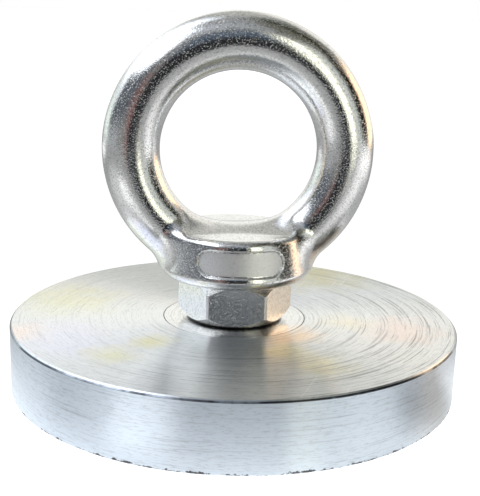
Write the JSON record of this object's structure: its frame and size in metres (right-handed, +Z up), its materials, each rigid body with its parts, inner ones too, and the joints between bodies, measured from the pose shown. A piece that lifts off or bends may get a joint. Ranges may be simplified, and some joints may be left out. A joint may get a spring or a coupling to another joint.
{
  "type": "pot magnet",
  "caption": "Round pot magnet: a flat steel cup that holds a magnet, with a lifting eye screwed into its middle and locked by a hex nut.",
  "frame": {"origin": "centre of the pull face, on the plane of the cup's rim, which is the face that meets the steel that it holds to", "axes": "+Z up along the thread's axis, away from the pull face and towards the eye. The eye's ring lies in the XZ plane, and its hole runs along Y. The collar's sunken panel faces -Y"},
  "size_m": [0.075, 0.075, 0.0621],
  "materials": {
    "cup_steel": "zinc plated over fine turning marks",
    "insert_steel": "zinc plated, finely turned",
    "magnet_plating": "nickel plated, satin",
    "resin": "cast epoxy resin, slightly glossy",
    "nut_steel": "stainless, cold formed, finely grained",
    "eye_steel": "cast stainless, tumbled and polished, with a faint grain"
  },
  "bodies": {
    "root": {"steel_cup": "cup_steel", "threaded_insert": "insert_steel", "ring_magnet": "magnet_plating", "outer_resin_ring": "resin", "inner_resin_ring": "resin", "lock_nut": "nut_steel", "lifting_eye": "eye_steel"}
  },
  "joints": []
}
